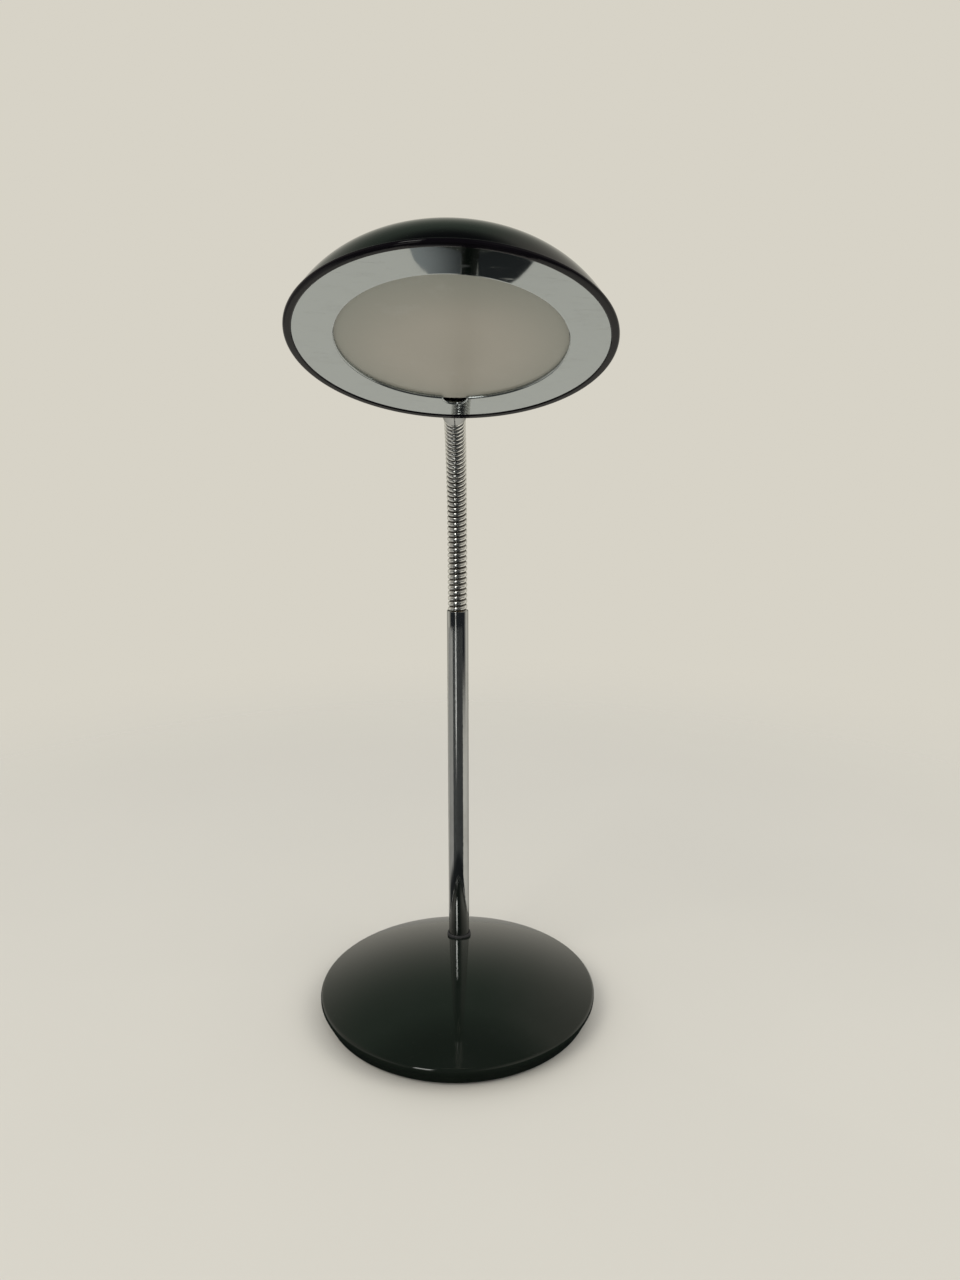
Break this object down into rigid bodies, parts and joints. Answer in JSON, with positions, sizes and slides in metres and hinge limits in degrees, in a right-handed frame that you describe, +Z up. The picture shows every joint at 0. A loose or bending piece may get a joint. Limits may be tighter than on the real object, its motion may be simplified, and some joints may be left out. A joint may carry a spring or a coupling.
{
  "type": "gooseneck desk lamp",
  "caption": "Desk lamp with a domed round foot, an upright chrome tube, a ribbed bending neck and a mushroom-shaped black head with a mirror ring round frosted glass",
  "frame": {"origin": "centre of the flat underside of the foot, on the surface that the lamp stands on", "axes": "+Z up along the stem, -Y the way the head leans and looks, +X to the right as seen from the front"},
  "size_m": [0.18, 0.2592, 0.4613],
  "materials": {
    "black_enamel": "glossy black enamel",
    "chrome": "polished chrome plate",
    "mirror": "polished mirror ring",
    "frosted_glass": "satin frosted glass, unlit",
    "clear_glass": "clear lamp glass",
    "zinc_steel": "zinc plated steel",
    "cast_iron": "rough grey casting",
    "brass": "turned brass",
    "white_enamel": "white stove enamel",
    "black_rubber": "matt rubber",
    "black_plastic": "moulded gloss plastic",
    "white_ceramic": "unglazed ceramic",
    "lead_sheath": "flexible cable sheath"
  },
  "bodies": {
    "stand": {"foot_pad": "black_rubber", "foot_cover": "zinc_steel", "cover_screws": "zinc_steel", "ballast": "cast_iron", "foot_shell": "black_enamel", "cable_inlet": "black_rubber", "terminal_block": "white_ceramic", "stem_lead": "lead_sheath", "stem_tube": "chrome", "stem_seal": "black_rubber", "stem_insert": "brass", "stem_washer": "zinc_steel", "stem_nut": "zinc_steel", "neck_socket": "brass", "neck_link_01": "chrome"},
    "neck_02": {"neck_link_02": "chrome"},
    "neck_03": {"neck_link_03": "chrome"},
    "neck_04": {"neck_link_04": "chrome"},
    "neck_05": {"neck_link_05": "chrome"},
    "neck_06": {"neck_link_06": "chrome"},
    "neck_07": {"neck_link_07": "chrome"},
    "neck_08": {"neck_link_08": "chrome"},
    "neck_09": {"neck_link_09": "chrome"},
    "neck_10": {"neck_link_10": "chrome"},
    "neck_11": {"neck_link_11": "chrome"},
    "neck_12": {"neck_link_12": "chrome"},
    "neck_13": {"neck_link_13": "chrome"},
    "neck_14": {"neck_link_14": "chrome"},
    "neck_15": {"neck_link_15": "chrome"},
    "neck_16": {"neck_link_16": "chrome"},
    "neck_17": {"neck_link_17": "chrome"},
    "neck_18": {"neck_link_18": "chrome"},
    "neck_19": {"neck_link_19": "chrome"},
    "neck_20": {"neck_link_20": "chrome"},
    "head": {"neck_collar": "chrome", "head_stud": "zinc_steel", "wall_block": "black_plastic", "lamp_bracket": "zinc_steel", "stud_nut": "zinc_steel", "lamp_holder": "white_ceramic", "bulb": "clear_glass", "head_lead": "lead_sheath", "shade": "black_enamel", "shade_rim": "black_enamel", "mirror_plate": "mirror", "diffuser_glass": "frosted_glass", "glass_clips": "zinc_steel", "clip_screws": "zinc_steel", "inner_reflector": "white_enamel", "switch_body": "black_plastic", "switch_bezel": "black_plastic", "switch_lead": "lead_sheath"},
    "button": {"switch_button": "black_plastic"}
  },
  "joints": [
    {"name": "bend_01", "type": "hinge", "parent": "stand", "child": "neck_02", "pos_m": [0, 0.041, 0.26464], "axis": [1, 0, 0], "range_deg": [-6, 6]},
    {"name": "sway_02", "type": "hinge", "parent": "neck_02", "child": "neck_03", "pos_m": [0, 0.041, 0.27168], "axis": [0, 1, 0], "range_deg": [-6, 6]},
    {"name": "bend_03", "type": "hinge", "parent": "neck_03", "child": "neck_04", "pos_m": [0, 0.041, 0.27872], "axis": [1, 0, 0], "range_deg": [-6, 6]},
    {"name": "sway_04", "type": "hinge", "parent": "neck_04", "child": "neck_05", "pos_m": [0, 0.041, 0.28576], "axis": [0, 1, 0], "range_deg": [-6, 6]},
    {"name": "bend_05", "type": "hinge", "parent": "neck_05", "child": "neck_06", "pos_m": [0, 0.041, 0.2928], "axis": [1, 0, 0], "range_deg": [-6, 6]},
    {"name": "sway_06", "type": "hinge", "parent": "neck_06", "child": "neck_07", "pos_m": [0, 0.04054, 0.29983], "axis": [0, 0.9952, 0.0983], "range_deg": [-6, 6]},
    {"name": "bend_07", "type": "hinge", "parent": "neck_07", "child": "neck_08", "pos_m": [0, 0.03962, 0.3068], "axis": [1, 0, 0], "range_deg": [-6, 6]},
    {"name": "sway_08", "type": "hinge", "parent": "neck_08", "child": "neck_09", "pos_m": [0, 0.03824, 0.31371], "axis": [0, 0.9737, 0.2278], "range_deg": [-6, 6]},
    {"name": "bend_09", "type": "hinge", "parent": "neck_09", "child": "neck_10", "pos_m": [0, 0.03641, 0.32051], "axis": [1, 0, 0], "range_deg": [-6, 6]},
    {"name": "sway_10", "type": "hinge", "parent": "neck_10", "child": "neck_11", "pos_m": [0, 0.03414, 0.32717], "axis": [0, 0.9355, 0.3534], "range_deg": [-6, 6]},
    {"name": "bend_11", "type": "hinge", "parent": "neck_11", "child": "neck_12", "pos_m": [0, 0.03144, 0.33367], "axis": [1, 0, 0], "range_deg": [-6, 6]},
    {"name": "sway_12", "type": "hinge", "parent": "neck_12", "child": "neck_13", "pos_m": [0, 0.02831, 0.33998], "axis": [0, 0.8811, 0.4728], "range_deg": [-6, 6]},
    {"name": "bend_13", "type": "hinge", "parent": "neck_13", "child": "neck_14", "pos_m": [0, 0.02478, 0.34607], "axis": [1, 0, 0], "range_deg": [-6, 6]},
    {"name": "sway_14", "type": "hinge", "parent": "neck_14", "child": "neck_15", "pos_m": [0, 0.02086, 0.35192], "axis": [0, 0.8116, 0.5842], "range_deg": [-6, 6]},
    {"name": "bend_15", "type": "hinge", "parent": "neck_15", "child": "neck_16", "pos_m": [0, 0.01656, 0.35749], "axis": [1, 0, 0], "range_deg": [-6, 6]},
    {"name": "sway_16", "type": "hinge", "parent": "neck_16", "child": "neck_17", "pos_m": [0, 0.01191, 0.36277], "axis": [0, 0.7281, 0.6854], "range_deg": [-6, 6]},
    {"name": "bend_17", "type": "hinge", "parent": "neck_17", "child": "neck_18", "pos_m": [0, 0.00692, 0.36774], "axis": [1, 0, 0], "range_deg": [-6, 6]},
    {"name": "sway_18", "type": "hinge", "parent": "neck_18", "child": "neck_19", "pos_m": [0, 0.00161, 0.37237], "axis": [0, 0.6321, 0.7749], "range_deg": [-6, 6]},
    {"name": "bend_19", "type": "hinge", "parent": "neck_19", "child": "neck_20", "pos_m": [0, -0.00399, 0.37663], "axis": [1, 0, 0], "range_deg": [-6, 6]},
    {"name": "sway_20", "type": "hinge", "parent": "neck_20", "child": "head", "pos_m": [0, -0.00985, 0.38053], "axis": [0, 0.5252, 0.851], "range_deg": [-6, 6]},
    {"name": "switch_press", "type": "slide", "parent": "head", "child": "button", "axis": [-0.0157, -0.4226, -0.9062], "range_m": [0, 0.002], "stiffness_N_per_m": 500}
  ]
}
